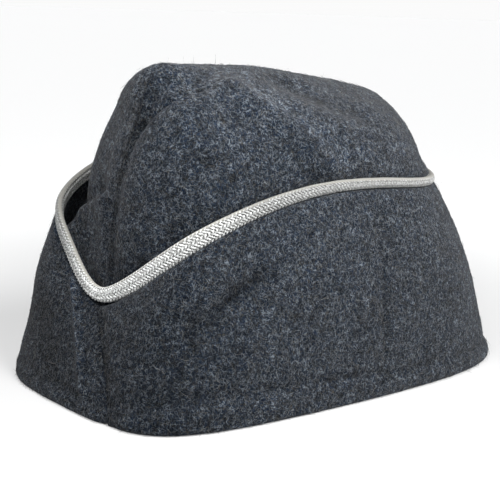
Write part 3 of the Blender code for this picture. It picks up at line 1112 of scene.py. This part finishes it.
def around(row, share, inset):
    """Places and outward directions round the section at some steps of the route."""
    x, y, nx, ny = section(share, tall[row], inset)
    place = route[row] + out[row] * x[:, None] + up[row] * y[:, None]
    return place, out[row] * nx[:, None] + up[row] * ny[:, None]


print("a strand winds", TURNS, "times round the piping")

# %% Strands
RIBBON_INSET = 0.45 * MM
RIBBON_WIDTH = 0.86 * MM
RIBBON_THICKNESS = 0.46 * MM
RIBBON_SIDES = np.array([0.0, -0.5, -0.2, 0.2, 0.5]) * RIBBON_WIDTH
RIBBON_RISES = np.array([-0.4, -0.1, 0.5, 0.5, -0.1]) * RIBBON_THICKNESS
WAVE = 0.36 * MM


def ribbon_path(number, hand):
    """Middle line and outward direction along the steps, for one strand of either hand."""
    step = np.arange(BRAID_STEPS + 1)
    along = step / BRAID_STEPS
    crossing = 2 * STRANDS * TURNS * along
    level = np.cos(math.pi / 2 * (2 * number + hand * crossing - 0.5)) * hand
    share = number / STRANDS + hand * TURNS * along
    path, outward = around(step % BRAID_STEPS, share, RIBBON_INSET)
    return path + outward * (level * WAVE)[:, None], outward


def strand(number, hand):
    """One strand as a mesh, with a UV map whose U runs across it and V along it."""
    path, outward = ribbon_path(number, hand)
    ahead_here = np.gradient(path, axis=0)
    ahead_here /= np.linalg.norm(ahead_here, axis=1, keepdims=True)
    across = np.cross(outward, ahead_here)
    across /= np.linalg.norm(across, axis=1, keepdims=True)
    mesh, column, row = grid_mesh("strand", len(RIBBON_SIDES) - 1, BRAID_STEPS, "along")
    place = path[row] + across[row] * RIBBON_SIDES[column][:, None]
    place += outward[row] * RIBBON_RISES[column][:, None]
    put_points(mesh, place)
    return mesh


test = strand(0, 1)
print("one strand:", len(test.vertices), "points")
bpy.data.meshes.remove(test)

# %% Join the strands
WELD = 0.001 * MM


def joined(name, meshes):
    """One piece from several meshes, welded where their points meet."""
    whole = bmesh.new()
    for mesh in meshes:
        whole.from_mesh(mesh)
        bpy.data.meshes.remove(mesh)
    bmesh.ops.remove_doubles(whole, verts=whole.verts[:], dist=WELD)
    bmesh.ops.recalc_face_normals(whole, faces=whole.faces[:])
    return new_piece(name, whole)


braids = [
    joined("piping_braid_" + way, [strand(number, hand) for number in range(STRANDS)])
    for way, hand in (("forth", 1), ("back", -1))
]
for braid in braids:
    print(braid.name, "has", len(braid.data.polygons), "faces")

# %% [markdown]
# A soft filler runs inside the braid and closes the small gaps between the strands, where it
# shows as a dull grey.

# %% Filler inside the braid
FILLER_INSET = 0.62 * MM


def swept(name, steps, sides):
    """A smooth tube inside the braid, from a grid laid round the route."""
    mesh, column, row = grid_mesh(name, sides, steps)
    row = row * (BRAID_STEPS // steps) % BRAID_STEPS
    place, _ = around(row, column / sides, FILLER_INSET)
    put_points(mesh, place)
    return joined(name, [mesh])


filler = swept("piping_filler", 350, 20)
print("filler has", len(filler.data.polygons), "faces")

# %% [markdown]
# A smooth tape runs along the top of the piping's inner side, where the braid is closed. It is
# a narrow strip with a slight dome, laid round the route like the filler, and it comes further
# over the top towards the rear.

# %% Tape along the inner edge
TAPE_INSET = 0.25 * MM
TAPE_RISE = 0.42 * MM
TAPE_GAIN = 0.10      # how much further over the top it comes at the rear
TAPE_COLUMNS = 10     # half of them on its face and half on its back


def taped(name, steps, first, last):
    """A flat closed strip outside the braid, between two shares of the way round its section."""
    mesh, column, row = grid_mesh(name, TAPE_COLUMNS, steps)
    row = row * (BRAID_STEPS // steps) % BRAID_STEPS
    half = TAPE_COLUMNS // 2
    across = np.where(column <= half, column, TAPE_COLUMNS - column) / half
    on_face = (column > 0) & (column < half)
    lift = np.where(on_face, TAPE_RISE * np.sin(math.pi * across) ** 0.5, 0)
    first_here = first - TAPE_GAIN * rise_between(route[row][:, 1], -30, 20)
    place, outward = around(row, first_here + (last - first_here) * across, TAPE_INSET)
    put_points(mesh, place + outward * lift[:, None])
    return joined(name, [mesh])


edge_tape = taped("piping_tape", 700, 0.165, 0.385)
print("tape has", len(edge_tape.data.polygons), "faces")

# %% [markdown]
# The thread shines a little, and fine lines run along each strand. Painted shade makes it
# brighter at the front and darker along the rear, and the cotton tape the same. The filler is
# plain cotton.

# %% The piping's finishes
# painted shade on thread and tape: none in front of the first place along Y, full behind the second
BRIGHT_UNTIL = -88 * MM
PAINTED_SHADE_FROM = -38 * MM


def towards_rear(tree, spot):
    """Share of painted shade on the piping: 0 at its front tip and 1 along its rear, reached sooner
    on the wearer's right.
    """
    split = tree.nodes.new("ShaderNodeSeparateXYZ")
    tree.links.new(spot, split.inputs[0])
    to_right = maths(tree, "MAXIMUM", maths(tree, "MULTIPLY", split.outputs["X"], -0.7), 0.0)
    return between(tree, maths(tree, "ADD", split.outputs["Y"], to_right), BRIGHT_UNTIL, PAINTED_SHADE_FROM)


thread, tree, shader = new_material("bright_thread", {"Roughness": 0.5, "Metallic": 0.15})
spot = tree.nodes.new("ShaderNodeTexCoord").outputs["Object"]
glint = between(tree, noise_value(tree, spot, 0.7, 1.0, 0.6, 0.0, 0.19), 0.32, 0.62)
front_thread = mixed(tree, glint, (0.30, 0.30, 0.29, 1), (0.79, 0.80, 0.79, 1))
# painted shade: the same thread colours, darker, for the rear
rear_with_painted_shade = mixed(tree, glint, (0.10, 0.10, 0.096, 1), (0.25, 0.254, 0.25, 1))
tree.links.new(mixed(tree, towards_rear(tree, spot), front_thread, rear_with_painted_shade), shader.inputs["Base Color"])
strand_map = tree.nodes.new("ShaderNodeUVMap")
strand_map.uv_map = "along"
split = tree.nodes.new("ShaderNodeSeparateXYZ")
tree.links.new(strand_map.outputs["UV"], split.inputs[0])
ends = maths(tree, "SINE", maths(tree, "MULTIPLY", split.outputs["X"], 60.0))
bumped(tree, shader, ends, 0.5, 0.05 * MM)

cotton, tree, shader = new_material(
    "filler_cotton", {"Base Color": (0.07, 0.066, 0.06, 1), "Roughness": 0.9}
)
tape, tree, shader = new_material("tape_cotton", {"Roughness": 0.75})
spot = tree.nodes.new("ShaderNodeTexCoord").outputs["Object"]
# painted shade on the tape along the rear, as on the thread
tape_with_painted_shade = mixed(tree, towards_rear(tree, spot), (0.27, 0.263, 0.240, 1), (0.13, 0.127, 0.115, 1))
tree.links.new(tape_with_painted_shade, shader.inputs["Base Color"])
for braid in braids:
    braid.data.materials.append(thread)
filler.data.materials.append(cotton)
edge_tape.data.materials.append(tape)
for piece in (*braids, filler, edge_tape):
    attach(piece, "root")
for braid in braids:
    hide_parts("piping")
print("piping finished")
